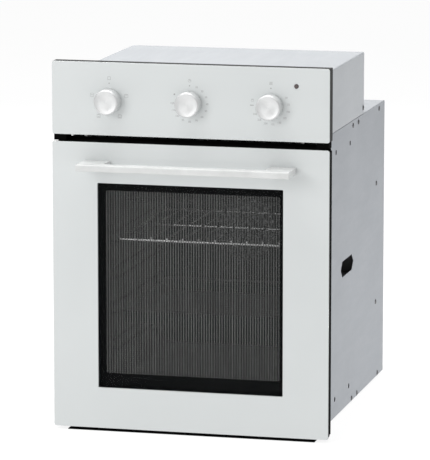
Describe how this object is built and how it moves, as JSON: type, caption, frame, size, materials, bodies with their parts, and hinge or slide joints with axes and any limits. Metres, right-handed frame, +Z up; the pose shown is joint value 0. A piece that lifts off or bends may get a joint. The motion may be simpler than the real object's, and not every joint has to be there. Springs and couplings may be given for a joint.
{
  "type": "wall oven",
  "caption": "Built-in wall oven with a drop-down glass door, bar handle, rotary knobs on a glass control panel, a steel casing, and an enamelled cavity with racks, shelf and tray.",
  "frame": {"origin": "middle of the width, on the mounting plane where the back of the front frame meets the cabinet, at the level the oven rests on", "axes": "+X to the right as seen from the front, +Y back into the cabinet, +Z up"},
  "size_m": [0.45, 0.62, 0.595],
  "materials": {
    "casing_steel": "galvanised sheet, satin",
    "cover_steel": "galvanised sheet, satin",
    "black_steel": "black enamel",
    "black_plastic": "black, fine grain",
    "black_metal": "black powder coat",
    "panel_plastic": "dark grey, fine grain",
    "cup_plastic": "dark grey, fine grain",
    "screw_steel": "zinc plated",
    "enamel": "dark grey vitreous enamel with fine specks",
    "insulation": "mineral wool blanket",
    "seal": "silicone over glass braid",
    "chrome_wire": "bright chrome",
    "element": "heat-darkened steel tube",
    "zinc": "galvanised",
    "lamp_glass": "ribbed clear glass",
    "lamp_ceramic": "unglazed",
    "switch_plastic": "heat-resistant, moulded",
    "white_glass": "back-painted white, glossy",
    "inner_glass": "clear with a printed dot screen",
    "indicator": "translucent lens, unlit",
    "hinge_steel": "zinc plated",
    "knob_metal": "turned face, satin silver",
    "shaft_steel": "drawn",
    "fan_metal": "pressed sheet",
    "handle_white": "white powder coat, satin"
  },
  "bodies": {
    "casing": {"side_panel_left": "casing_steel", "side_panel_right": "casing_steel", "base_panel": "cover_steel", "rear_panel": "cover_steel", "casing_top": "cover_steel", "control_cover": "cover_steel", "front_frame": "black_steel", "bottom_trim": "black_steel", "support_pads": "black_plastic", "casing_screws": "screw_steel", "grip_cups": "cup_plastic", "cavity_liner": "enamel", "insulation": "insulation", "door_seal": "seal", "rack_left": "chrome_wire", "rack_right": "chrome_wire", "grill_element": "element", "lower_element": "element", "ring_element": "element", "fan_guard": "enamel", "fan_motor": "zinc", "oven_lamp_lens": "lamp_glass", "oven_lamp_holder": "lamp_ceramic", "blower_housing": "zinc", "blower_motor": "zinc", "air_duct": "zinc", "terminal_block": "switch_plastic", "cable_gland": "black_plastic", "control_bracket": "zinc", "function_switch": "switch_plastic", "minute_timer": "zinc", "thermostat": "switch_plastic", "sensor_bulb": "zinc", "control_glass": "white_glass", "panel_carrier": "panel_plastic", "indicator_lens": "indicator", "vent_grille": "black_plastic", "hinge_arms": "hinge_steel", "hinge_receivers": "zinc"},
    "door": {"door_outer_glass": "white_glass", "door_inner_glass": "inner_glass", "door_profiles": "black_metal", "door_top_cap": "black_plastic", "door_bottom_rail": "black_plastic", "hinge_channels": "hinge_steel", "hinge_pins": "hinge_steel", "hinge_springs": "hinge_steel", "handle_bar": "handle_white", "handle_brackets": "handle_white", "handle_screws": "screw_steel"},
    "function_knob": {"function_knob": "knob_metal", "function_shaft": "shaft_steel"},
    "timer_knob": {"timer_knob": "knob_metal", "timer_shaft": "shaft_steel"},
    "thermostat_knob": {"thermostat_knob": "knob_metal", "thermostat_shaft": "shaft_steel"},
    "fan": {"convection_fan": "fan_metal"},
    "blower": {"blower_wheel": "fan_metal"},
    "shelf": {"wire_shelf": "chrome_wire"},
    "tray": {"baking_tray": "enamel"}
  },
  "joints": [
    {"name": "door_hinge", "type": "hinge", "parent": "casing", "child": "door", "pos_m": [0, -0.0165, 0.0185], "axis": [1, 0, 0], "range_deg": [0, 90], "stiffness_Nm_per_rad": 7, "springref_deg": -6.88},
    {"name": "function_turn", "type": "hinge", "parent": "casing", "child": "function_knob", "pos_m": [-0.131, -0.025, 0.5335], "axis": [0, 1, 0], "continuous": true},
    {"name": "timer_turn", "type": "hinge", "parent": "casing", "child": "timer_knob", "pos_m": [0, -0.025, 0.5335], "axis": [0, 1, 0], "range_deg": [-60, 270]},
    {"name": "thermostat_turn", "type": "hinge", "parent": "casing", "child": "thermostat_knob", "pos_m": [0.131, -0.025, 0.5335], "axis": [0, 1, 0], "range_deg": [0, 272]},
    {"name": "fan_spin", "type": "hinge", "parent": "casing", "child": "fan", "pos_m": [0, 0.388, 0.2735], "axis": [0, 1, 0], "continuous": true},
    {"name": "blower_spin", "type": "hinge", "parent": "casing", "child": "blower", "pos_m": [0, 0.195, 0.49], "axis": [0, 0, 1], "continuous": true},
    {"name": "shelf_slide", "type": "slide", "parent": "casing", "child": "shelf", "axis": [0, -1, 0], "range_m": [0, 0.26]},
    {"name": "tray_slide", "type": "slide", "parent": "casing", "child": "tray", "axis": [0, -1, 0], "range_m": [0, 0.19]}
  ],
  "couplings": [
    {"joint": "shelf_slide", "follows": "door_hinge", "m_per_rad": 0.16},
    {"joint": "tray_slide", "follows": "door_hinge", "m_per_rad": 0.12}
  ]
}
